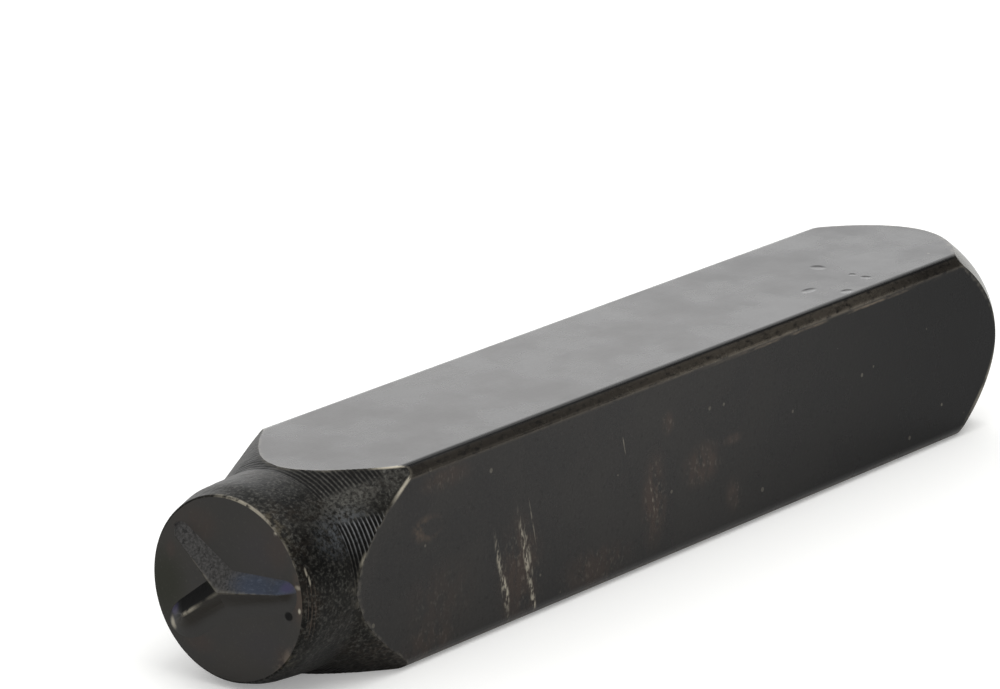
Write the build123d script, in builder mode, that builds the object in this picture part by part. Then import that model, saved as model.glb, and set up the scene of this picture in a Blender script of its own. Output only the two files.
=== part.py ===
"""Steel letter punch: a square bar, turned down to a round character face at one end and
crowned by a turned chamfer at the struck end, all one piece of blackened tool steel.

It lies on one long side as it does on a bench. X runs along the bar from the character end
(-X) to the struck end (+X), Z is up, and the origin is on the resting side, at the middle of
the overall length.
"""
from build123d import *
from math import radians, tan
import os

# Shank, a square bar of hardened tool steel
shank_side = 12.0
shank_edge_radius = 0.8
shank_length = 70.0         # character face to struck face

# Turned head at the character end
face_diameter = 10.9        # the round face that carries the character
face_edge_radius = 0.15     # broken edge round the face
nose_length = 1.2           # the bevel behind the face
nose_diameter = 11.6        # where the bevel meets the neck
neck_length = 4.3           # face to the foot of the flare
neck_diameter = 11.94       # at the foot of the flare
turning_radius = 2.0        # blend that the tool left between these slopes
flare_angle = 23.3          # of the flare's side to its axis
head_lean = 1.7             # the bar sat this far out of line when its head was turned
head_shift_y = 0.1          # centre of the face, off the middle of the bar
head_shift_z = -0.1

# Turned chamfer at the struck end
struck_diameter = 11.5      # flat face that takes the hammer
struck_chamfer_length = 5.8
struck_chamfer_angle = 27.3    # of the chamfer's chord to the axis
struck_crown = 0.2          # how far the chamfer bulges beyond its chord
struck_edge_radius = 0.4
struck_shift_z = -0.15      # centre of the struck face, off the middle of the bar

# Character, a letter Y that stands out of the face on sloping flanks
letter_relief = 0.7         # crest above the face
crest_width = 0.16
flank_angle = 55.0          # of each flank to the punch's axis
letter_margin = 0.05        # plain rim left between the letter and the edge of the face
junction_y = 0.22           # where the strokes meet, off the centre of the face
junction_z = 0.22
upper_arm_length = 3.5      # of each stroke's crest, from the junction
lower_arm_length = 3.45
stem_length = 4.35
upper_arm_turn = 148.6      # direction of each stroke, seen from in front of the face,
lower_arm_turn = 219.6      # counterclockwise from the bar's -Y side
stem_turn = 4.0

# How far the turned forms run past the ends of the bar, and how deep the letter is rooted
overrun = 1.0
letter_root = 0.1

half_side = shank_side / 2
turning_stock = shank_side    # outer radius of the turned forms, clear of the bar's corners
far_end = shank_length + overrun
struck_x = (shank_length + letter_relief) / 2
character_x = struck_x - shank_length
letter_radius = face_diameter / 2 - face_edge_radius - letter_margin


def head_section():
    """Half section of the turned head, along its own leaning axis. It takes in the whole bar."""
    nose_slope = (nose_diameter - face_diameter) / 2 / nose_length
    flare_reach = (turning_stock - neck_diameter / 2) / tan(radians(flare_angle))
    start = (-overrun, face_diameter / 2 - nose_slope * overrun)
    nose = (nose_length, nose_diameter / 2)
    foot = (neck_length, neck_diameter / 2)
    top = (neck_length + flare_reach, turning_stock)
    with BuildSketch() as section:
        with BuildLine():
            FilletPolyline(start, nose, foot, top, radius=turning_radius)
            Polyline(top, (far_end, turning_stock), (far_end, 0), (start[0], 0), start)
        make_face()
    return section.sketch


def struck_section():
    """Half section of the turned struck end, X from its face. It takes in the whole bar."""
    rise = struck_chamfer_length * tan(radians(struck_chamfer_angle))
    rim = (0, struck_diameter / 2)
    foot = (-struck_chamfer_length, rim[1] + rise)
    stock = (-struck_chamfer_length, foot[1] + overrun)
    with BuildSketch() as section:
        with BuildLine():
            SagittaArc(rim, foot, struck_crown)
            Polyline(foot, stock, (-far_end, stock[1]), (-far_end, 0), (0, 0), rim)
        make_face()
    return section.sketch


def letter_crest():
    """Flat crest of the letter: three thin strokes with round ends, from one junction."""
    strokes = (
        (upper_arm_turn, upper_arm_length),
        (lower_arm_turn, lower_arm_length),
        (stem_turn, stem_length),
    )
    with BuildSketch() as crest:
        for turn, length in strokes:
            with Locations(Rotation(0, 0, turn) * Pos(length / 2, 0)):
                SlotCenterToCenter(length, crest_width)
    return crest.sketch


def upright_plane(x, y, z, turn=0):
    """A plane along the bar, through a point on an axis that is turned about Z."""
    return Plane((x, y, z), x_dir=Vector(1, 0, 0).rotate(Axis.Z, turn), z_dir=(0, 0, 1))


face_y = head_shift_y
face_z = half_side + head_shift_z
head_plane = upright_plane(character_x, face_y, face_z, -head_lean)
struck_plane = upright_plane(struck_x, 0, half_side + struck_shift_z)
crest_plane = Plane((character_x - letter_relief, face_y, face_z), x_dir=(0, -1, 0), z_dir=(-1, 0, 0))
letter_depth = letter_relief + letter_root

with BuildPart() as letter:
    # Crest and flanks, down to a root inside the face, kept inside the rim of the face
    with BuildSketch(crest_plane):
        with Locations((-junction_y, junction_z)):
            add(letter_crest())
    extrude(amount=-letter_depth, taper=-flank_angle)
    with BuildSketch(crest_plane):
        Circle(letter_radius)
    extrude(amount=-letter_depth, mode=Mode.INTERSECT)

with BuildPart() as turned_head:
    # Turned on its leaning axis, cut off square to the bar, and its edge broken
    with BuildSketch(head_plane):
        add(head_section())
    revolve(axis=Axis(head_plane.origin, head_plane.x_dir))
    split(bisect_by=Plane.YZ.offset(character_x), keep=Keep.TOP)
    fillet(turned_head.faces().sort_by(Axis.X)[0].edges(), face_edge_radius)

with BuildPart() as turned_struck_end:
    with BuildSketch(struck_plane):
        add(struck_section())
    revolve(axis=Axis(struck_plane.origin, struck_plane.x_dir))
    fillet(turned_struck_end.faces().sort_by(Axis.X)[-1].edges(), struck_edge_radius)

with BuildPart() as letter_punch:
    # Square bar with rounded long edges, turned down at both ends
    with BuildSketch(Plane.YZ.offset(character_x)):
        with Locations((0, half_side)):
            RectangleRounded(shank_side, shank_side, shank_edge_radius)
    extrude(amount=shank_length)
    add(turned_head.part, mode=Mode.INTERSECT)
    add(turned_struck_end.part, mode=Mode.INTERSECT)

    # Letter on the face
    add(letter.part)

letter_punch.part.label = "letter_punch"

os.makedirs("parts", exist_ok=True)
export_step(letter_punch.part, "parts/letter_punch.step")
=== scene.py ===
"""Dresses a steel letter punch: tool steel blackened in a salt bath, drawn flat on its long sides
and turned at both ends, with a raised letter on the round face.

Sizes are in millimetres, as on a drawing, until a mesh is finished and goes into metres.
"""
import random
from math import atan2, cos, degrees, hypot, pi, radians, sin, tan

import bmesh
import bpy
from mathutils import Matrix, Vector, noise


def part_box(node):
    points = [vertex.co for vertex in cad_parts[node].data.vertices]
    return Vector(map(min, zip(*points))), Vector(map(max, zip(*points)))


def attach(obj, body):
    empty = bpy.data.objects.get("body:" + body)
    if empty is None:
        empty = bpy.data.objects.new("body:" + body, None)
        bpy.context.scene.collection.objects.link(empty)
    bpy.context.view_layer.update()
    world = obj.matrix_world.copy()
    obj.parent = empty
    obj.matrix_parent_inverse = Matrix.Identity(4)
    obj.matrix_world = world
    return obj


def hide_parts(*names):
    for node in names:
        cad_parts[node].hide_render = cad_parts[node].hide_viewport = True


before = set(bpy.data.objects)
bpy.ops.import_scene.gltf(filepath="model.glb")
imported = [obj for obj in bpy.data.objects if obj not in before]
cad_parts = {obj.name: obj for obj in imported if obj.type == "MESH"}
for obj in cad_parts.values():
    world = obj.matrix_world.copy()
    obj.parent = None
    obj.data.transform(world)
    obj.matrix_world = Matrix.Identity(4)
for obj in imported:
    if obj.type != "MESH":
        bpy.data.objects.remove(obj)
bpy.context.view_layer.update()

METRES = 0.001

# The bar, from the frame
low, high = (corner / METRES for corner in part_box("letter_punch"))
side = high.z - low.z
middle_z = side / 2
front_y = -side / 2
letter_relief = 0.7
face_x = low.x + letter_relief
struck_x = high.x
long_edge_radius = 0.8

# Turned head, measured back from the character face
face_radius = 5.45
face_edge_radius = 0.15
nose_length = 1.2
nose_slope = 0.2917
neck_length = 4.3
neck_slope = 0.0548
flare_slope = tan(radians(23.3))
slope_blend = 0.3          # reach of the smooth bend between two slopes
head_lean = radians(1.7)
face_centre = Vector((face_x, 0.1, middle_z - 0.1))

# Lathe feed marks on the flare, and bands along it where they are worn away
groove_pitch = 0.24
groove_depth = 0.04
groove_start = 4.0
groove_end = 7.9
groove_fade = 0.15
worn_bands = ((44, 6), (128, 5), (215, 6), (330, 24))    # middle and half width, degrees round the axis
band_border = 5            # degrees over which the marks come back beside a band
band_drift = -1.8          # degrees more for each mm back
fine_step = groove_pitch / 6       # along the head's outline, at the marks
coarse_step = groove_pitch / 2     # and elsewhere
outline_margin = 1.8       # how far past the marks the outline has these steps

# Turned chamfer at the struck end, measured back from the struck face
struck_radius = 5.75
struck_edge_radius = 0.4
chamfer_length = 5.8
chamfer_angle = radians(27.3)
chamfer_crown = 0.2
struck_centre = Vector((struck_x, 0.0, middle_z - 0.15))

# Letter, seen from in front: turns are counterclockwise from the right, which is the -Y side
crest_half_width = 0.05
letter_root = 0.1
letter_margin = 0.05       # plain rim left between the letter and the edge of the face
letter_radius = face_radius - face_edge_radius - letter_margin
junction = Vector((-0.19, -0.05))    # right and up from the centre of the face
upper_arm_turn = 138.5
lower_arm_turn = 215.5
stem_turn = 9.3
# Heights over the face, and how much further a soft flank runs out at each
flank_levels = (
    (letter_relief, 0.0), (0.3, 0.0), (0.14, 0.07), (0.06, 0.2),
    (0.02, 0.4), (0.0, 0.6), (-letter_root, 0.7),
)

# Making of the meshes
spin_steps = 288           # round a turned form
chamfer_steps = 60         # along the chamfer
edge_steps = 5             # across a broken edge
stroke_steps = 64          # round a stroke of the letter
waste_radius = 12.0        # of what the lathe takes off, clear of the bar's corners
overrun = 1.0              # how far a cut runs past what it cuts
skin_depth = 0.002         # cut off the face to give it its own finish
on_outline = 0.0001        # a point this near the head's outline lies on it
weld_distance = 0.00002    # points nearer to each other than this become one
sliver_width = 0.0002      # edges shorter and faces narrower than this go
sharp_turn = radians(28)   # shading breaks where faces turn by more


def new_mesh(bm, name):
    """A mesh object from a bmesh, with its faces turned outwards."""
    bmesh.ops.recalc_face_normals(bm, faces=bm.faces)
    mesh = bpy.data.meshes.new(name)
    bm.to_mesh(mesh)
    bm.free()
    piece = bpy.data.objects.new(name, mesh)
    bpy.context.scene.collection.objects.link(piece)
    return piece


def spun(section, name):
    """A ring turned about X from a closed section of (x, radius) points."""
    bm = bmesh.new()
    points = [bm.verts.new((x, 0, radius)) for x, radius in section]
    edges = [bm.edges.new(pair) for pair in zip(points, points[1:] + points[:1])]
    bmesh.ops.spin(
        bm, geom=points + edges, cent=(0, 0, 0), axis=(1, 0, 0), angle=2 * pi,
        steps=spin_steps, use_merge=True,
    )
    bmesh.ops.remove_doubles(bm, verts=bm.verts, dist=weld_distance)
    return new_mesh(bm, name)


def past(x, corner):
    """How far x is past a corner between two slopes, with a smooth bend about the corner."""
    if x < corner - slope_blend:
        return 0.0
    if x > corner + slope_blend:
        return x - corner
    return (x - corner + slope_blend) ** 2 / (4 * slope_blend)


def head_radius(x):
    """Radius of the turned head, x behind the face, without the feed marks."""
    nose = face_radius + nose_slope * x
    return (
        nose
        + (neck_slope - nose_slope) * past(x, nose_length)
        + (flare_slope - neck_slope) * past(x, neck_length)
    )


def chamfer_radius(x):
    """Radius of the crowned chamfer, x behind the struck face."""
    share = x / chamfer_length
    crown = 4 * chamfer_crown * share * (1 - share) / cos(chamfer_angle)
    return struck_radius + x * tan(chamfer_angle) + max(crown, 0)


def broken_edge(radius, outline):
    """Points (x, r) of a rounded edge between a flat face at x = 0 and a sloping outline."""
    slope = (outline(radius) - outline(0)) / radius
    end = pi / 2 - Vector((1, slope)).angle(Vector((1, 0)))
    x_end = radius * (1 - cos(end))
    centre = outline(x_end) - radius * sin(end)
    turns = [end * i / edge_steps for i in range(edge_steps + 1)]
    return [(radius * (1 - cos(turn)), centre + radius * sin(turn)) for turn in turns]


def soft_step(value, start, end):
    """From 0 to 1, smoothly, as a value goes from start to end."""
    share = min(max((value - start) / (end - start), 0), 1)
    return share * share * (3 - 2 * share)


def worn_away(x, turn):
    """How far the feed marks are rubbed out at x behind the face and a turn in degrees."""
    drift = band_drift * (x - (groove_start + groove_end) / 2)
    worn = 0
    for middle, half in worn_bands:
        off = abs((turn - middle - drift + 180) % 360 - 180)
        worn = max(worn, soft_step(off, half + band_border, half))
    return worn


def cut_feed_marks(waste):
    """Cuts the lathe's feed marks into the flare, uneven from groove to groove and round it."""
    rng = random.Random(7)
    grooves = 60
    depths = [groove_depth * rng.uniform(0.5, 1.0) for _ in range(grooves)]
    for vertex in waste.data.vertices:
        x, y, z = vertex.co
        radius = hypot(y, z)
        if x < face_edge_radius or abs(radius - head_radius(x)) > on_outline:
            continue
        turn = degrees(atan2(z, -y))
        shown = soft_step(x, groove_start - groove_fade, groove_start + groove_fade)
        shown *= soft_step(x, groove_end + groove_fade, groove_end - groove_fade)
        shown *= 1 - worn_away(x, turn)
        # Deeper and shallower stretches some 2 mm long, with a trace of the marks left everywhere
        shown *= 0.55 + 0.9 * max(noise.noise(vertex.co * 0.55), -0.4)
        mark = depths[int(x / groove_pitch)] * max(shown, 0.04) * abs(sin(pi * x / groove_pitch))
        # Low swellings in the turned surface, which leave the rim true
        lump = 0.012 * noise.noise(vertex.co * 1.4) + 0.006 * noise.noise(vertex.co * 4)
        lump *= soft_step(x, 2 * face_edge_radius, 6 * face_edge_radius)
        vertex.co.yz *= (radius - mark + lump) / radius


def head_waste():
    """What the lathe took off round the head."""
    reach = neck_length + (waste_radius - head_radius(neck_length)) / flare_slope
    turned = []
    x = -overrun
    while x < groove_end + outline_margin:
        at_marks = groove_start - 2 * groove_fade < x < groove_end + 2 * groove_fade
        x += fine_step if at_marks else coarse_step
        turned.append((x, head_radius(x)))
    outside = [(reach, waste_radius), (-overrun, waste_radius), (-overrun, head_radius(-overrun))]
    waste = spun(turned + outside, "head_waste")
    cut_feed_marks(waste)
    waste.matrix_world = Matrix.Translation(face_centre) @ Matrix.Rotation(-head_lean, 4, "Z")
    return waste


def rim_waste():
    """What was broken off the edge of the face, square to the bar."""
    edge = broken_edge(face_edge_radius, head_radius)
    reach = face_radius + overrun
    outside = [(edge[-1][0], reach), (-overrun, reach), (-overrun, edge[0][1])]
    waste = spun(edge + outside, "rim_waste")
    # The leaning cone meets the face a little to one side of its axis
    aside = Vector((0, -nose_slope * face_radius * sin(head_lean), 0))
    waste.matrix_world = Matrix.Translation(face_centre + aside)
    return waste


def chamfer_waste():
    """What the lathe took off round the struck end."""
    edge = broken_edge(struck_edge_radius, chamfer_radius)
    start = edge[-1][0]
    run = chamfer_length + overrun - start
    places = [start + run * i / chamfer_steps for i in range(1, chamfer_steps + 1)]
    turned = [(x, chamfer_radius(x)) for x in places]
    outside = [(places[-1], waste_radius), (-overrun, waste_radius), (-overrun, edge[0][1])]
    waste = spun(edge + turned + outside, "chamfer_waste")
    waste.matrix_world = Matrix.Translation(struck_centre) @ Matrix.Rotation(pi, 4, "Z")
    return waste


def bar():
    """Square bar from face to face, its long edges rounded."""
    bm = bmesh.new()
    bmesh.ops.create_cube(bm, size=1)
    bmesh.ops.scale(bm, verts=bm.verts, vec=(struck_x - face_x, side, side))
    bmesh.ops.translate(bm, verts=bm.verts, vec=((struck_x + face_x) / 2, 0, middle_z))
    long_edges = [e for e in bm.edges if abs(e.verts[0].co.x - e.verts[1].co.x) > side]
    bmesh.ops.bevel(
        bm, geom=long_edges, offset=long_edge_radius, segments=8, profile=0.5,
        affect="EDGES", material=-1,
    )
    return new_mesh(bm, "bar")


def rod(name, radius, length, ahead):
    """A rod along the bar, with its middle a distance ahead of the face."""
    bm = bmesh.new()
    bmesh.ops.create_cone(
        bm, cap_ends=True, segments=spin_steps, radius1=radius, radius2=radius, depth=length,
    )
    piece = new_mesh(bm, name)
    middle = face_centre - Vector((ahead, 0, 0))
    piece.matrix_world = Matrix.Translation(middle) @ Matrix.Rotation(pi / 2, 4, "Y")
    return piece


def face_skin():
    """A skin off the face, which gives the cut face its own material."""
    return rod("face_skin", face_radius + overrun, 2 * overrun, overrun - skin_depth)


def face_room():
    """The room inside the rim of the face, which the letter keeps to."""
    return rod("face_room", letter_radius, 4 * overrun, 0)


def stroke(
    name, turn, crest_length, base_length, left_width, right_width, end_width, end_height, soft_side,
):
    """One stroke of the letter, X along it: a ridge with a round end and a flank on each side. Towards
    its end the ridge gets lower and narrower, and the flank on its soft side, 1 for the left and -1
    for the right, runs out softly into the face. With a soft side of 0, both are plain."""
    bm = bmesh.new()
    rings = []
    for height, spread in flank_levels:
        share = (letter_relief - height) / letter_relief
        left = crest_half_width + (left_width - crest_half_width) * share
        right = crest_half_width + (right_width - crest_half_width) * share
        along = crest_half_width + (base_length - crest_length) * share
        verts = bmesh.ops.create_circle(bm, segments=stroke_steps, radius=1)["verts"]
        half_step = Matrix.Rotation(pi / stroke_steps, 3, "Z")
        bmesh.ops.rotate(bm, verts=verts, cent=(0, 0, 0), matrix=half_step)
        for vert in verts:
            at_end = vert.co.x > 0
            across = (left if vert.co.y > 0 else right) * (end_width if at_end else 1)
            if vert.co.y * soft_side > 0:
                across += spread
            drop = (letter_relief - end_height) * (1 - share) if at_end else 0
            x = crest_length + vert.co.x * along if at_end else vert.co.x * right / 2
            vert.co = (x, vert.co.y * across, height - drop)
        # The edges in the order they come, each once, so that every run gives the same mesh
        rings.append(list(dict.fromkeys(edge for vert in verts for edge in vert.link_edges)))
    for upper, lower in zip(rings, rings[1:]):
        bmesh.ops.bridge_loops(bm, edges=upper + lower)
    for ring in (rings[0], rings[-1]):
        bmesh.ops.contextual_create(bm, geom=ring)
    piece = new_mesh(bm, name)
    # Face coordinates: right is -Y, up is Z and out of the face is -X
    face = Matrix(((0, 0, -1), (-1, 0, 0), (0, 1, 0))).to_4x4()
    at_junction = Matrix.Translation(junction.to_3d()) @ Matrix.Rotation(radians(turn), 4, "Z")
    piece.matrix_world = Matrix.Translation(face_centre) @ face @ at_junction
    return piece


def combined(piece, operation, tool):
    """The piece with one tool cut from it, joined to it or shared with it. The tool goes."""
    step = piece.modifiers.new("step", "BOOLEAN")
    step.operation = operation
    step.object = tool
    step.solver = "EXACT"
    step.material_mode = "TRANSFER"
    bpy.context.view_layer.update()
    result = bpy.data.meshes.new_from_object(piece.evaluated_get(bpy.context.evaluated_depsgraph_get()))
    result.transform(piece.matrix_world)
    piece.modifiers.clear()
    piece.matrix_world = Matrix.Identity(4)
    piece.data = result
    bpy.data.objects.remove(tool)
    return piece


def weld(piece):
    """Takes out the doubled points and the slivers that the cuts leave. The cuts number what they
    make anew in each run, so it is sorted first, for the same mesh each time."""
    bm = bmesh.new()
    bm.from_mesh(piece.data)
    # By height, then across the bar, then along it
    order = Vector((1, 1000, 1000000))
    bm.verts.sort(key=lambda vert: vert.co.dot(order))
    bm.edges.sort(key=lambda edge: (edge.verts[0].co + edge.verts[1].co).dot(order))
    bm.faces.sort(key=lambda face: face.calc_center_median().dot(order))
    bmesh.ops.remove_doubles(bm, verts=bm.verts, dist=weld_distance)
    bmesh.ops.dissolve_degenerate(bm, edges=bm.edges, dist=sliver_width)
    for edge in [edge for edge in bm.edges if edge.is_wire]:
        bm.edges.remove(edge)
    bm.to_mesh(piece.data)
    bm.free()


def srgb(text):
    """A hex colour such as #1b1a19 as linear red, green and blue with an alpha of 1."""
    parts = [int(text[i:i + 2], 16) / 255 for i in (1, 3, 5)]
    return tuple(p / 12.92 if p <= 0.04045 else ((p + 0.055) / 1.055) ** 2.4 for p in parts) + (1.0,)


def add(tree, kind, inputs=(), output=None, **settings):
    """Adds a shader node with its settings, values and links, and gives back one of its outputs."""
    node = tree.nodes.new("ShaderNode" + kind)
    for name, value in settings.items():
        setattr(node, name, value)
    for name, value in dict(inputs).items():
        if isinstance(value, bpy.types.NodeSocket):
            tree.links.new(value, node.inputs[name])
        else:
            node.inputs[name].default_value = value
    if output:
        return node.outputs[output]
    return next((socket for socket in node.outputs if socket.enabled), None)


def blotches(tree, place, grain, start, end, stretch=(1, 1, 1), detail=3.0):
    """Blotches about one grain wide, in mm, and longer where stretched. They show where a noise of
    0 to 1 has passed the start, and are whole past the end."""
    spread = add(tree, "VectorMath", {0: place, 1: [2 * grain * s for s in stretch]}, operation="DIVIDE")
    cloud = add(tree, "TexNoise", {"Vector": spread, "Scale": 1.0, "Detail": detail, "Roughness": 0.6})
    return add(tree, "MapRange", {0: cloud, 1: start, 2: end}, interpolation_type="SMOOTHSTEP")


def soft_spots(tree, place, *spots):
    """Soft spots, each with its centre, half widths and strength."""
    total = 0.0
    for centre, half_widths, strength in spots:
        off = add(tree, "VectorMath", {0: place, 1: centre}, operation="SUBTRACT")
        share = add(tree, "VectorMath", {0: off, 1: half_widths}, operation="DIVIDE")
        reach = add(tree, "VectorMath", {0: share}, operation="LENGTH")
        spot = add(
            tree, "MapRange", {0: reach, 1: 1.0, 2: 0.2, 3: 0.0, 4: strength},
            interpolation_type="SMOOTHSTEP",
        )
        total = add(tree, "Math", {0: total, 1: spot}, operation="MAXIMUM")
    return total


def painted(tree, film, *coats):
    """A film with more coats over it, each a colour and the masks that it shows through. A mask is
    a pattern, or one number for the whole surface."""
    film = srgb(film)
    for colour, *masks in coats:
        share = 1.0
        for mask in masks:
            share = add(tree, "Math", {0: share, 1: mask}, operation="MULTIPLY")
        film = add(tree, "Mix", {0: share, 6: film, 7: srgb(colour)}, data_type="RGBA")
    return film


def rubbed(tree, *places):
    """How far the film is rubbed through. Each place is a set of masks that it shows through."""
    total = 0.0
    for masks in places:
        share = 1.0
        for mask in masks:
            share = add(tree, "Math", {0: share, 1: mask}, operation="MULTIPLY")
        total = add(tree, "Math", {0: total, 1: share}, operation="MAXIMUM")
    return total


def band(tree, value, start, end, fade):
    """Where a value lies between the start and the end, with soft borders."""
    begun = add(
        tree, "MapRange", {0: value, 1: start - fade, 2: start + fade}, interpolation_type="SMOOTHSTEP",
    )
    left = add(
        tree, "MapRange", {0: value, 1: end + fade, 2: end - fade}, interpolation_type="SMOOTHSTEP",
    )
    return add(tree, "Math", {0: begun, 1: left}, operation="MULTIPLY")


def turned_place(tree, mm, centre, turn):
    """Place on a turned end: distance behind its face, distance from its axis, and degrees round it
    from the -Y side upwards."""
    off = add(tree, "VectorMath", {0: mm, 1: centre}, operation="SUBTRACT")
    turned = add(tree, "VectorRotate", {"Vector": off, "Angle": turn}, rotation_type="Z_AXIS")
    across = add(tree, "VectorMath", {0: turned, 1: (0, 1, 1)}, operation="MULTIPLY")
    radius = add(tree, "VectorMath", {0: across}, operation="LENGTH")
    parts = add(tree, "SeparateXYZ", {0: turned}).node.outputs
    front = add(tree, "Math", {0: parts["Y"], 1: -1.0}, operation="MULTIPLY")
    angle = add(tree, "Math", {0: parts["Z"], 1: front}, operation="ARCTAN2")
    return parts["X"], radius, add(tree, "Math", {0: angle}, operation="DEGREES")


def from_middle(tree, mm):
    """Distances from the middle line of the bar: aside as Y, and up or down as Z."""
    off = add(tree, "VectorMath", {0: mm, 1: (0, 0, middle_z)}, operation="SUBTRACT")
    distance = add(tree, "VectorMath", {0: off}, operation="ABSOLUTE")
    return add(tree, "SeparateXYZ", {0: distance}).node.outputs


def near_flats(tree, mm):
    """Where a turned surface comes near one of the four flat sides."""
    parts = from_middle(tree, mm)
    widest = add(tree, "Math", {0: parts["Y"], 1: parts["Z"]}, operation="MAXIMUM")
    inside = add(tree, "Math", {0: side / 2, 1: widest}, operation="SUBTRACT")
    return add(tree, "MapRange", {0: inside, 1: 0.12, 2: 0.02}, interpolation_type="SMOOTHSTEP")


def over_rounding(tree, mm):
    """Place across a rounded long edge: its radius where it meets the top or underside, and minus
    its radius where it meets an upright side."""
    parts = from_middle(tree, mm)
    return add(tree, "Math", {0: parts["Z"], 1: parts["Y"]}, operation="SUBTRACT")


def worn_smooth(tree, back, turn):
    """Where the feed marks are worn away on the turned head."""
    middle_drift = band_drift * (groove_start + groove_end) / 2
    lag = add(tree, "Math", {0: back, 1: -band_drift, 2: middle_drift}, operation="MULTIPLY_ADD")
    straight = add(tree, "Math", {0: turn, 1: lag})
    total = 0.0
    for middle, half in worn_bands:
        near = add(tree, "Math", {0: straight, 1: middle + 180, 2: middle - 180}, operation="WRAP")
        off = add(tree, "Math", {0: add(tree, "Math", {0: near, 1: -middle})}, operation="ABSOLUTE")
        worn = add(
            tree, "MapRange", {0: off, 1: half + band_border, 2: half}, interpolation_type="SMOOTHSTEP",
        )
        total = add(tree, "Math", {0: total, 1: worn}, operation="MAXIMUM")
    return total


def near_turning(tree, mm):
    """Where a flat side comes near the flare or the struck chamfer."""
    back, radius, _ = turned_place(tree, mm, face_centre, head_lean)
    # A place past the bend, where the flare is straight
    on_flare = neck_length + 1
    flare_start = head_radius(on_flare) - flare_slope * on_flare
    flare = add(tree, "Math", {0: back, 1: flare_slope, 2: flare_start}, operation="MULTIPLY_ADD")
    to_flare = add(tree, "Math", {0: flare, 1: radius}, operation="SUBTRACT")
    back, radius, _ = turned_place(tree, mm, struck_centre, pi)
    chamfer_slope = tan(chamfer_angle)
    chamfer_start = struck_radius + chamfer_crown / 2
    chamfer = add(
        tree, "Math", {0: back, 1: chamfer_slope, 2: chamfer_start}, operation="MULTIPLY_ADD",
    )
    to_chamfer = add(tree, "Math", {0: chamfer, 1: radius}, operation="SUBTRACT")
    inside = add(tree, "Math", {0: to_flare, 1: to_chamfer}, operation="MINIMUM")
    return add(tree, "MapRange", {0: inside, 1: 0.16, 2: 0.02}, interpolation_type="SMOOTHSTEP")


def start_material(name):
    """A material with an empty node tree, and the place on the object in mm."""
    material = bpy.data.materials.new(name)
    material.use_nodes = True
    tree = material.node_tree
    tree.nodes.clear()
    place = add(tree, "TexCoord", output="Object")
    mm = add(tree, "VectorMath", {0: place, "Scale": 1 / METRES}, operation="SCALE")
    return material, tree, mm


def finish_steel(tree, film, worn, metallic, roughness, specular, *bumps):
    """Blackened steel, bare where it is worn. Each bump is a pattern and its height in mm, which is
    below 0 for a hollow."""
    bare_steel = srgb("#a09a8c")
    normal = None
    for height, depth in bumps:
        inputs = {"Height": height, "Strength": 1.0, "Distance": abs(depth) * METRES}
        if normal:
            inputs["Normal"] = normal
        normal = add(tree, "Bump", inputs, invert=depth < 0)
    shader = add(
        tree, "BsdfPrincipled",
        {
            "Base Color": add(tree, "Mix", {0: worn, 6: film, 7: bare_steel}, data_type="RGBA"),
            "Metallic": add(tree, "MapRange", {0: worn, 3: metallic, 4: 1.0}),
            "Roughness": roughness,
            "Specular IOR Level": specular,
            "Normal": normal,
        },
    )
    add(tree, "OutputMaterial", {"Surface": shader})


def side_stains(tree, mm):
    """Brown stains on the front side, each a few mm across."""
    return soft_spots(
        tree, mm,
        ((-2.2, front_y, 4.2), (1.7, 3, 3.8), 1.2),
        ((2.7, front_y, 5.2), (2.6, 3, 1.8), 1.1),
        ((6.0, front_y, 2.5), (1.1, 3, 1.5), 0.9),
        ((-15.5, front_y, 3.2), (2.8, 3, 4.4), 1.1),
        ((-23.0, front_y, 3.4), (4.2, 3, 3.0), 0.45),
        ((-24.0, front_y, 1.2), (3.5, 3, 1.6), 0.8),
        ((-22.5, front_y, 10.6), (3.0, 3, 1.0), 0.7),
        ((-8.0, front_y, 1.5), (4.5, 3, 1.8), 0.8),
        ((-0.9, front_y, 8.6), (0.9, 3, 1.0), 0.9),
        ((5.8, front_y, 6.0), (1.3, 3, 0.5), 0.9),
    )


def side_smear(tree, mm):
    """A smear in a ring on the front side, near the head."""
    ring = soft_spots(tree, mm, ((-24.2, front_y, 8.0), (1.7, 3, 1.0), 1.6))
    hole = soft_spots(tree, mm, ((-23.9, front_y, 8.0), (1.2, 3, 0.7), 2.4))
    return add(tree, "Math", {0: ring, 1: hole}, operation="SUBTRACT", use_clamp=True)


def side_scratches(tree, along):
    """Scratches across the front side, through the film, which lean as they run down."""
    leaning = add(tree, "Math", {0: along["Z"], 1: 0.25, 2: along["X"]}, operation="MULTIPLY_ADD")
    upright = add(tree, "CombineXYZ", {0: leaning, 1: along["Y"], 2: along["Z"]})
    return soft_spots(
        tree, upright,
        ((-16.4, front_y, 3.2), (0.34, 1, 3.6), 0.8),
        ((-16.2, front_y, 2.4), (0.3, 1, 1.2), 1.2),
        ((-13.95, front_y, 3.6), (0.3, 1, 4.0), 0.9),
        ((-13.9, front_y, 1.4), (0.3, 1, 1.6), 1.4),
        ((-13.6, front_y, 4.2), (0.2, 1, 2.4), 0.6),
        ((-12.8, front_y, 6.0), (0.08, 1, 2.0), 0.4),
        ((-1.3, front_y, 4.2), (0.10, 1, 2.2), 0.4),
        ((-3.2, front_y, 8.4), (0.07, 1, 1.0), 0.4),
    )


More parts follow.
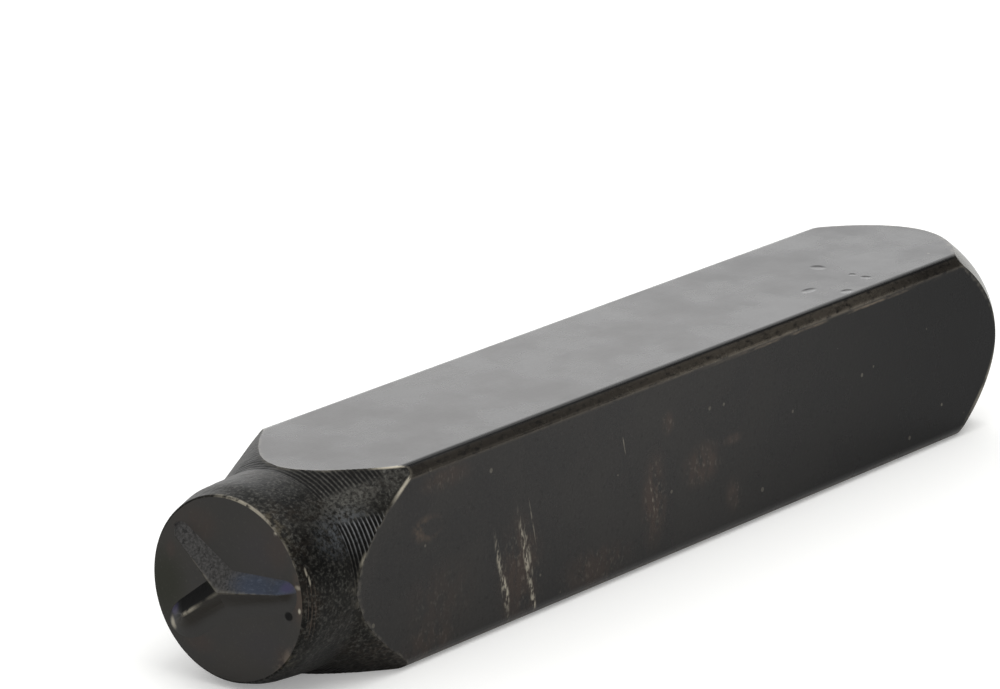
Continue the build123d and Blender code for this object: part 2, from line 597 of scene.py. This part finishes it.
def light_specks(tree, mm):
    """Where light specks lie, each in its own cell of 1.8 mm, and how bright they are."""
    cells = add(tree, "TexVoronoi", {"Vector": mm, "Scale": 0.55, "Randomness": 1.0}).node.outputs
    chosen = add(tree, "SeparateColor", {0: cells["Color"]}).node.outputs
    size = add(tree, "Math", {0: chosen["Red"], 1: 0.085}, operation="MULTIPLY")
    speck = add(tree, "Math", {0: cells["Distance"], 1: size}, operation="LESS_THAN")
    bright = add(
        tree, "MapRange", {0: chosen["Green"], 1: 0.45, 2: 0.95}, interpolation_type="SMOOTHSTEP",
    )
    return speck, bright


def top_dents(tree, mm):
    """Small dents in the top, near the struck end."""
    return soft_spots(
        tree, mm,
        ((23.15, -0.26, side), (0.55, 0.6, 1), 1.0),
        ((23.06, -3.97, side), (0.4, 0.45, 1), 0.8),
        ((18.39, -2.84, side), (0.8, 0.4, 1), 0.8),
        ((19.67, -4.80, side), (0.6, 0.4, 1), 0.8),
        ((23.08, -2.92, side), (0.3, 0.3, 1), 0.8),
    )


def drawn_flats():
    """Cold-drawn bar, blackened: a close black oxide film with an oily satin shine, faint die
    lines along the bar, brown where the film is thin, and scratched through to steel."""
    material, tree, mm = start_material("blackened_drawn_bar")
    along = add(tree, "SeparateXYZ", {0: mm}).node.outputs
    # Painted shade: the bar darkens towards the struck end
    painted_shade_toward_end = add(tree, "MapRange", {0: along["X"], 1: -8.0, 2: 38.0}, interpolation_type="SMOOTHSTEP")
    # The film is browner and rougher on the upper long edges, less so towards both ends; near the head
    # it is held back as painted shade
    rounding = over_rounding(tree, mm)
    upper = add(tree, "MapRange", {0: along["Z"], 1: middle_z, 2: middle_z + 1})
    painted_shade_near_head = add(
        tree, "MapRange", {0: along["X"], 1: -16.0, 2: 10.0, 3: 0.45}, interpolation_type="SMOOTHSTEP",
    )
    from_end = add(
        tree, "MapRange", {0: along["X"], 1: 27.0, 2: 19.0, 3: 0.42}, interpolation_type="SMOOTHSTEP",
    )
    midway = add(tree, "Math", {0: painted_shade_near_head, 1: from_end}, operation="MULTIPLY")
    brown_edge = band(tree, rounding, -0.7, 0.25, 0.15)
    edge_line = band(tree, rounding, -0.92, -0.78, 0.05)
    past_middle = band(tree, along["X"], 6.0, 27.0, 5.0)
    thin_line = add(tree, "Math", {0: edge_line, 1: past_middle}, operation="MULTIPLY")
    dark_line = band(tree, rounding, 0.3, 0.75, 0.1)
    stains = side_stains(tree, mm)
    streaky = blotches(tree, mm, 0.5, 0.34, 0.6, stretch=(1, 1, 2), detail=5.0)
    film = painted(
        tree, "#302f2f",
        ("#3a3836", 0.4, blotches(tree, mm, 2.5, 0.35, 0.65, detail=4.0)),
        ("#434240", 0.3, blotches(tree, mm, 0.1, 0.45, 0.75)),
        ("#161515", 0.3, blotches(tree, mm, 0.16, 0.55, 0.75)),
        ("#060608", painted_shade_toward_end),
        ("#403834", stains, streaky),
        ("#51473f", 0.8, side_smear(tree, mm), blotches(tree, mm, 0.25, 0.3, 0.6)),
        ("#6a6359", upper, midway, brown_edge, blotches(tree, mm, 0.16, 0.2, 0.55, stretch=(2, 1, 1))),
        ("#675d51", upper, midway, thin_line, blotches(tree, mm, 0.3, 0.4, 0.65, stretch=(4, 1, 1))),
        ("#070706", dark_line),
    )
    # Lines where the flats meet the turning, partly wear and partly a painted highlight on the edge,
    # most at the corner above the head and near the struck end, and worn lines along the edges that
    # the bar rests on
    border = near_turning(tree, mm)
    head_corner = soft_spots(tree, mm, ((-26.2, -5.8, 11.2), (1.9, 1.5, 2.0), 1.3))
    struck_line = soft_spots(tree, mm, ((33.6, front_y, 3.2), (2.8, 1, 4.0), 1.0))
    resting = add(tree, "MapRange", {0: along["Z"], 1: 0.36, 2: 0.2}, interpolation_type="SMOOTHSTEP")
    scratches = side_scratches(tree, along)
    worn = rubbed(
        tree,
        (scratches, blotches(tree, mm, 0.09, 0.44, 0.6, stretch=(1, 1, 2.5), detail=5.0)),
        (0.13, stains, blotches(tree, mm, 0.11, 0.54, 0.7, stretch=(1, 1, 1.6))),
        (0.35, *light_specks(tree, mm)),
        (0.15, border, blotches(tree, mm, 0.25, 0.4, 0.62)),
        (0.8, border, head_corner, blotches(tree, mm, 0.3, 0.3, 0.5)),
        (0.45, border, struck_line, blotches(tree, mm, 0.4, 0.25, 0.5)),
        (0.5, resting, blotches(tree, mm, 0.3, 0.2, 0.5, stretch=(3, 1, 1))),
        (0.3, upper, midway, brown_edge, blotches(tree, mm, 0.12, 0.58, 0.7)),
    )
    rougher = blotches(tree, mm, 2.5, 0.3, 0.7, detail=4.0)
    roughness = add(tree, "MapRange", {0: rougher, 3: 0.24, 4: 0.32})
    # Real die lines and the crystals of the film are finer: these are as coarse as they need to show
    die_lines = blotches(tree, mm, 0.05, 0.0, 1.0, stretch=(60, 1, 1), detail=2.0)
    crystals = blotches(tree, mm, 0.08, 0.0, 1.0)
    finish_steel(
        tree, film, worn, 0.92, roughness, 0.2,
        (die_lines, 0.0015), (crystals, 0.002), (top_dents(tree, mm), -0.06),
    )
    return material


def turned_head():
    """Turned with a coarse feed and blackened: the oxide lies dull in the grooves, and their crests
    and the corners are rubbed to a lighter grey. The pale crests on the front of the flare are a
    painted highlight, and the wear at the corners and on the rim arc is partly painted highlight."""
    material, tree, mm = start_material("blackened_turned_head")
    back, _, turn = turned_place(tree, mm, face_centre, head_lean)
    about = add(tree, "CombineXYZ", {0: back, 1: turn})
    behind_nose = add(tree, "MapRange", {0: back, 1: 2.2, 2: 4.6}, interpolation_type="SMOOTHSTEP")
    worn_off = worn_smooth(tree, back, turn)
    left_on = add(tree, "Math", {0: 1.0, 1: worn_off}, operation="SUBTRACT")
    at_marks = band(tree, back, groove_start, groove_end, groove_fade)
    grooved = add(tree, "Math", {0: at_marks, 1: left_on}, operation="MULTIPLY")
    phase = add(tree, "Math", {0: back, 1: pi / groove_pitch}, operation="MULTIPLY")
    swing = add(tree, "Math", {0: phase}, operation="SINE")
    wave = add(tree, "Math", {0: swing}, operation="ABSOLUTE")
    crest = add(tree, "MapRange", {0: wave, 1: 0.6, 2: 0.1}, interpolation_type="SMOOTHSTEP")
    floor_of_groove = add(tree, "MapRange", {0: wave, 1: 0.3, 2: 0.9}, interpolation_type="SMOOTHSTEP")
    # Rubbed along the upper front, bluish below that, and olive brown behind the rim and low down
    rub = soft_spots(
        tree, about,
        ((4.8, 47, 0), (4.4, 14, 1), 1.0),
        ((8.4, 46, 0), (1.4, 16, 1), 0.6),
    )
    bluish = soft_spots(tree, about, ((4.0, 33, 0), (2.8, 18, 1), 1.0))
    tarnish = soft_spots(
        tree, about,
        ((0.25, 52, 0), (0.65, 24, 1), 1.0),
        ((0.3, -40, 0), (0.7, 14, 1), 1.0),
    )
    browned = soft_spots(
        tree, about,
        ((7.0, -38, 0), (2.6, 16, 1), 1.0),
        ((0.6, -2, 0), (0.8, 26, 1), 0.9),
    )
    nose_lines = soft_spots(tree, about, ((0.75, -2, 0), (0.6, 26, 1), 1.0))
    # Painted highlight: paler crests of the feed marks on the front of the flare
    front_crest_highlight = soft_spots(tree, about, ((5.3, 31, 0), (2.8, 16, 1), 1.0))
    film = painted(
        tree, "#10100e",
        ("#181714", behind_nose),
        ("#262421", 0.6, blotches(tree, mm, 1.4, 0.42, 0.62, detail=4.0)),
        ("#241e18", 0.6, blotches(tree, mm, 1.1, 0.5, 0.7)),
        ("#3a352b", tarnish, blotches(tree, mm, 0.2, 0.4, 0.6)),
        ("#2f2822", browned, blotches(tree, mm, 0.2, 0.4, 0.6)),
        ("#42413d", rub, blotches(tree, mm, 0.12, 0.34, 0.64)),
        ("#585b5e", bluish, blotches(tree, mm, 0.12, 0.34, 0.64)),
        ("#4b4a46", 0.8, blotches(tree, mm, 0.1, 0.44, 0.74)),
        ("#050505", 0.7, blotches(tree, mm, 0.13, 0.48, 0.66)),
        ("#040404", 0.92, floor_of_groove, grooved),
        ("#363532", 0.7, crest, grooved, blotches(tree, mm, 0.5, 0.3, 0.6)),
        ("#7e7f80", 0.75, crest, grooved, front_crest_highlight, blotches(tree, mm, 0.5, 0.2, 0.5)),
        ("#574d46", 0.65, crest, nose_lines, blotches(tree, mm, 0.3, 0.3, 0.55)),
    )
    border = near_flats(tree, mm)
    # Partly wear, partly a painted highlight along the edges next to the flats, most at the corner above
    # the head
    corner = soft_spots(
        tree, about,
        ((8.4, 46, 0), (1.7, 16, 1), 1.3),
        ((4.7, 17, 0), (0.6, 6, 1), 0.8),
    )
    short_line = soft_spots(
        tree, about,
        ((0.63, 20, 0), (0.09, 4, 1), 1.5),
        ((0.73, 15, 0), (0.09, 4, 1), 1.5),
    )
    # The rim arc is partly wear, partly a painted highlight on the upper right of the rounded rim
    rim = add(tree, "MapRange", {0: back, 1: 0.22, 2: 0.08}, interpolation_type="SMOOTHSTEP")
    rim_wear_and_highlight = soft_spots(
        tree, about,
        ((0, 72, 0), (1, 36, 1), 1.0),
        ((0, 32, 0), (1, 16, 1), 0.6),
    )
    worn = rubbed(
        tree,
        (0.15, border, blotches(tree, mm, 0.3, 0.4, 0.65)),
        (0.8, border, corner),
        (0.9, rim, rim_wear_and_highlight, blotches(tree, mm, 0.3, 0.35, 0.52)),
        (0.7, short_line, blotches(tree, mm, 0.3, 0.3, 0.5)),
    )
    finish_steel(
        tree, film, worn, 0.7, 0.48, 0.25,
        (blotches(tree, mm, 0.09, 0.0, 1.0, detail=4.0), 0.008),
        (blotches(tree, mm, 0.3, 0.0, 1.0), 0.03),
    )
    return material


def turned_chamfer():
    """Turned with a fine feed and blackened, smoother than the head, and paler than it: a painted
    reflection of the bright light that the chamfer mirrors.
    """
    material, tree, mm = start_material("blackened_turned_chamfer")
    # Painted reflection: a pale film for the bright light that the chamfer mirrors
    film = painted(
        tree, "#63615b",
        ("#6f6c65", blotches(tree, mm, 1.6, 0.35, 0.65, detail=4.0)),
    )
    worn = rubbed(tree, (0.5, near_flats(tree, mm), blotches(tree, mm, 0.3, 0.4, 0.65)))
    finish_steel(
        tree, film, worn, 0.8, 0.24, 0.5,
        (blotches(tree, mm, 0.06, 0.0, 1.0, stretch=(1, 60, 60), detail=1.0), 0.003),
        (blotches(tree, mm, 0.08, 0.0, 1.0), 0.003),
    )
    return material


def painted_pit_shade(tree, mm):
    """Painted shade: a black spot for a pit near the edge of the face, which the mesh does not have."""
    return soft_spots(tree, mm, ((face_x, -4.33, middle_z - 0.8), (2, 0.36, 0.33), 2.4))


def end_glints(tree, mm):
    """Painted glints, drawn as bare steel: facets at the ends of the lower arm and the stem that catch
    the light, and bright nicks at the rim.
    """
    return soft_spots(
        tree, mm,
        ((face_x - 0.1, 4.0, middle_z - 2.8), (1, 0.34, 0.56), 1.2),
        ((face_x - 0.1, -5.0, middle_z + 1.0), (1, 0.3, 0.2), 0.8),
        ((face_x, -5.1, middle_z - 0.35), (1, 0.14, 0.22), 1.5),
        ((face_x, -3.45, middle_z + 3.85), (1, 0.2, 0.2), 1.5),
        ((face_x, -4.18, middle_z + 3.4), (1, 0.2, 0.2), 1.5),
    )


def cut_face():
    """Filed flat round the letter, then blackened: smooth and dark, faintly brown, violet and olive
    as the film thickens, with the rim rubbed where it was handled. Along the rim's upper right the
    wear is partly a painted highlight; a painted shade marks a pit, and painted glints the letter's
    ends and nicks in the rim."""
    material, tree, mm = start_material("blackened_cut_face")
    _, radius, turn = turned_place(tree, mm, face_centre, 0.0)
    about = add(tree, "CombineXYZ", {0: radius, 1: turn})
    stains = soft_spots(
        tree, mm,
        ((face_x, 2.3, middle_z + 3.4), (1, 2.0, 1.6), 0.8),
        ((face_x, 4.2, middle_z + 1.5), (1, 0.5, 0.8), 0.8),
        ((face_x, -4.0, middle_z - 3.4), (1, 1.1, 1.1), 0.8),
        ((face_x, -3.6, middle_z + 3.0), (1, 1.4, 1.8), 0.7),
        ((face_x, -4.8, middle_z), (1, 0.8, 1.4), 1.0),
        ((face_x, 2.2, middle_z - 3.6), (1, 1.6, 0.9), 0.7),
    )
    olive = soft_spots(tree, mm, ((face_x, 4.6, middle_z - 0.6), (1, 2.2, 3.0), 1.0))
    near_edge = face_radius - 0.05
    lower_rim = soft_spots(tree, about, ((face_radius - 0.1, -38, 0), (0.5, 18, 1), 1.0))
    right_rim = soft_spots(tree, about, ((near_edge, 6, 0), (0.7, 24, 1), 1.0))
    violet = soft_spots(
        tree, mm,
        ((face_x, -2.5, middle_z + 2.6), (1, 2.6, 2.0), 0.7),
        ((face_x, -2.5, middle_z - 3.0), (1, 3.0, 1.6), 0.6),
    )
    film = painted(
        tree, "#333231",
        ("#363432", blotches(tree, mm, 1.8, 0.35, 0.65, detail=4.0)),
        ("#292a23", 0.9, olive),
        ("#353236", 0.5, violet),
        ("#3a3330", stains, blotches(tree, mm, 0.8, 0.3, 0.6)),
        ("#44433f", 0.3, blotches(tree, mm, 0.1, 0.55, 0.75)),
        ("#5c534b", 0.8, lower_rim, blotches(tree, mm, 0.25, 0.35, 0.6)),
        ("#473e37", 0.9, right_rim, blotches(tree, mm, 0.3, 0.3, 0.55)),
        # Painted shade in a pit
        ("#020202", painted_pit_shade(tree, mm)),
    )
    rim = add(
        tree, "MapRange", {0: radius, 1: face_radius - 0.13, 2: face_radius - 0.03},
        interpolation_type="SMOOTHSTEP",
    )
    # The rim arc is partly wear, partly a painted highlight on the upper right of the rounded rim
    rim_wear_and_highlight = soft_spots(
        tree, about,
        ((near_edge, 72, 0), (1, 36, 1), 1.0),
        ((near_edge, 32, 0), (1, 16, 1), 0.5),
    )
    worn = rubbed(
        tree,
        (0.9, rim, rim_wear_and_highlight, blotches(tree, mm, 0.3, 0.35, 0.52)),
        (0.7, end_glints(tree, mm), blotches(tree, mm, 0.25, 0.3, 0.55)),
    )
    finish_steel(
        tree, film, worn, 0.7, 0.38, 0.35,
        (blotches(tree, mm, 0.08, 0.0, 1.0), 0.002),
        (blotches(tree, mm, 0.3, 0.0, 1.0), 0.004),
    )
    return material


def letter_flanks():
    """Filed flanks of the letter, blackened, blue to violet along the stem where the oxide is thin.
    Painted light and shade: grey and open-grained above, where the flanks catch the light, near black
    between the arms for the dark that they mirror, and as dark as the face below, with a painted
    shade under the crest there."""
    material, tree, mm = start_material("blackened_letter")
    meeting = face_centre + Vector((0, -junction.x, junction.y))
    back, _, turn = turned_place(tree, mm, meeting, 0.0)
    # Painted light and shade: each flank is coloured by the way it faces
    # Above the stem, on the upper arm's lower flank as far as the valley, and below the stem
    above = band(tree, turn, stem_turn, upper_arm_turn, 0.8)
    left = band(tree, turn, upper_arm_turn, 176, 3)
    below = band(tree, turn, lower_arm_turn - 360, stem_turn, 0.8)
    blue = soft_spots(
        tree, mm,
        ((face_x - 0.3, -2.4, middle_z + 0.6), (2, 2.6, 1.2), 1.0),
        ((face_x - 0.3, -4.0, middle_z + 0.8), (2, 1.4, 0.9), 1.0),
    )
    violet = soft_spots(
        tree, mm,
        ((face_x - 0.3, -4.4, middle_z + 0.95), (2, 0.6, 0.42), 0.8),
        ((face_x - 0.2, 3.9, middle_z - 1.9), (2, 0.7, 0.5), 1.0),
    )
    # Painted shade just under the crest, on the flanks below the stem
    high = add(tree, "MapRange", {0: back, 1: -0.02, 2: -0.3}, interpolation_type="SMOOTHSTEP")
    film = painted(
        tree, "#0c0c0d",
        ("#181914", left),
        ("#333231", below),
        ("#26231f", high, below),
        ("#363534", above),
        ("#4b4a49", above, blotches(tree, mm, 0.08, 0.35, 0.68)),
        ("#141414", 0.6, above, blotches(tree, mm, 0.14, 0.58, 0.66)),
        ("#3b4250", 0.9, blue, above),
        ("#545b68", 0.5, blue, above, blotches(tree, mm, 0.08, 0.5, 0.7, stretch=(1, 2, 1))),
        ("#3e3a54", violet),
        # Painted shade in a pit
        ("#020202", painted_pit_shade(tree, mm)),
    )
    crest = add(tree, "MapRange", {0: back, 1: -0.6, 2: -0.68}, interpolation_type="SMOOTHSTEP")
    # Bare crest at the lower arm's end: partly wear, partly a painted glint
    lower_end_glint = soft_spots(tree, mm, ((face_x - 0.7, 2.4, middle_z - 1.7), (1, 1.2, 1.0), 1.0))
    worn = rubbed(
        tree,
        (0.2, crest, blotches(tree, mm, 0.35, 0.3, 0.7)),
        (0.6, crest, lower_end_glint, blotches(tree, mm, 0.2, 0.3, 0.6)),
        (0.7, end_glints(tree, mm), blotches(tree, mm, 0.25, 0.3, 0.55)),
    )
    finish_steel(
        tree, film, worn, 0.7, 0.4, 0.4,
        (blotches(tree, mm, 0.08, 0.0, 1.0), 0.003),
        (blotches(tree, mm, 0.2, 0.0, 1.0), 0.006),
    )
    return material


drawn = drawn_flats()
turned = turned_head()
chamfered = turned_chamfer()
cut = cut_face()
lettered = letter_flanks()

# The letter's three strokes, joined and kept inside the rim
upper_arm = stroke(
    "upper_arm", upper_arm_turn, crest_length=4.1, base_length=4.75,
    left_width=0.5, right_width=1.38, end_width=0.52, end_height=0.6, soft_side=0,
)
lower_arm = stroke(
    "lower_arm", lower_arm_turn, crest_length=3.1, base_length=4.85,
    left_width=0.97, right_width=1.0, end_width=0.9, end_height=0.7, soft_side=1,
)
stem = stroke(
    "stem", stem_turn, crest_length=4.3, base_length=5.2,
    left_width=1.22, right_width=1.1, end_width=0.58, end_height=0.62, soft_side=-1,
)
letter = upper_arm
letter.data.materials.append(lettered)
for tool, operation in ((lower_arm, "UNION"), (stem, "UNION"), (face_room(), "INTERSECT")):
    tool.data.materials.append(lettered)
    letter = combined(letter, operation, tool)

# The bar, turned down at both ends, with the letter on its face
punch = bar()
punch.data.materials.append(drawn)
cuts = ((head_waste(), turned), (rim_waste(), turned), (chamfer_waste(), chamfered), (face_skin(), cut))
for waste, finish in cuts:
    waste.data.materials.append(finish)
    punch = combined(punch, "DIFFERENCE", waste)
punch = combined(punch, "UNION", letter)
weld(punch)
punch.name = "punch"
punch.data.transform(Matrix.Scale(METRES, 4))
for polygon in punch.data.polygons:
    polygon.use_smooth = True
punch.data.set_sharp_from_angle(angle=sharp_turn)
# Flat sides stay flat to the eye where they meet a rounding
weighted = punch.modifiers.new("flat_sides", "WEIGHTED_NORMAL")
weighted.keep_sharp = True
print("punch triangles", sum(len(p.vertices) - 2 for p in punch.data.polygons))

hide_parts("letter_punch")
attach(punch, "root")


def white_paper():
    """Matt white paper, lifted to white where the camera sees it, with the shadow kept."""
    material, tree, _ = start_material("white_paper")
    matt = add(tree, "BsdfDiffuse", {"Color": srgb("#f0f0ee")})
    seen = add(tree, "LightPath", output="Is Camera Ray")
    lift = add(tree, "Math", {0: seen, 1: 0.25}, operation="MULTIPLY")
    glow = add(tree, "Emission", {"Color": (1, 1, 1, 1), "Strength": lift})
    both = add(tree, "AddShader", {0: matt, 1: glow})
    add(tree, "OutputMaterial", {"Surface": both})
    return material


def floor():
    """A wide sheet of paper, a hair below the side that the punch rests on, in metres."""
    half_width = 3.0
    hair = 0.02 * METRES
    bm = bmesh.new()
    bmesh.ops.create_grid(bm, x_segments=1, y_segments=1, size=half_width)
    bmesh.ops.translate(bm, verts=bm.verts, vec=(0, 0, -hair))
    piece = new_mesh(bm, "floor")
    piece.data.materials.append(white_paper())


floor()

# Camera, at the photograph's viewing angle
view_azimuth = radians(52.77)
view_height = radians(16.12)
view_distance = 381.7
view_centre = Vector((-2.15, 5.58, 11.77))
level = cos(view_height)
ahead = Vector((sin(view_azimuth) * level, cos(view_azimuth) * level, -sin(view_height)))
camera_data = bpy.data.cameras.new("camera")
camera_data.lens = 228.0
camera_data.clip_end = 20
camera = bpy.data.objects.new("camera", camera_data)
camera.location = (view_centre - ahead * view_distance) * METRES
camera.rotation_euler = ahead.to_track_quat("-Z", "Y").to_euler()
bpy.context.scene.collection.objects.link(camera)
bpy.context.scene.camera = camera


def softbox(name, place, aim, size, power):
    """A square area lamp at a place, aimed at a point, in metres."""
    data = bpy.data.lights.new(name, "AREA")
    data.size = size
    data.energy = power
    lamp = bpy.data.objects.new(name, data)
    lamp.location = place
    lamp.rotation_euler = (Vector(aim) - Vector(place)).to_track_quat("-Z", "Y").to_euler()
    bpy.context.scene.collection.objects.link(lamp)


softbox("overhead_box", place=(0.05, -0.15, 0.6), aim=(0, 0, 0), size=0.45, power=1.6)


def facing(tree, direction, toward, start, end):
    """From 0 to 1 as a direction turns toward another: start and end are degrees off it."""
    unit = Vector(toward).normalized()
    near = add(tree, "VectorMath", {0: direction, 1: unit}, operation="DOT_PRODUCT")
    return add(
        tree, "MapRange", {0: near, 1: cos(radians(start)), 2: cos(radians(end))},
        interpolation_type="SMOOTHSTEP",
    )


def light_tent():
    """Pale cloth all round, brighter behind the tool and open on the right, where the room is dim."""
    world = bpy.data.worlds.new("light_tent")
    bpy.context.scene.world = world
    world.use_nodes = True
    tree = world.node_tree
    tree.nodes.clear()
    direction = add(tree, "TexCoord", output="Generated")
    behind = facing(tree, direction, (0.765, 0.581, 0.25), 60, 15)
    opening = facing(tree, direction, (0.80, -0.52, 0.30), 62, 38)
    gap = facing(tree, direction, (-0.15, 0.97, 0.15), 42, 20)
    dim = add(tree, "Math", {0: opening, 1: gap}, operation="MAXIMUM")
    cloth = add(tree, "MapRange", {0: behind, 3: 0.85, 4: 1.85})
    tent = add(tree, "Mix", {0: dim, 2: cloth, 3: 0.2}, data_type="FLOAT")
    seen = add(tree, "LightPath", output="Is Camera Ray")
    strength = add(tree, "Mix", {0: seen, 2: tent, 3: 1.0}, data_type="FLOAT")
    light = add(tree, "Background", {"Color": (1, 1, 1, 1), "Strength": strength})
    add(tree, "OutputWorld", {"Surface": light})


light_tent()

bpy.context.scene.view_settings.view_transform = "Standard"
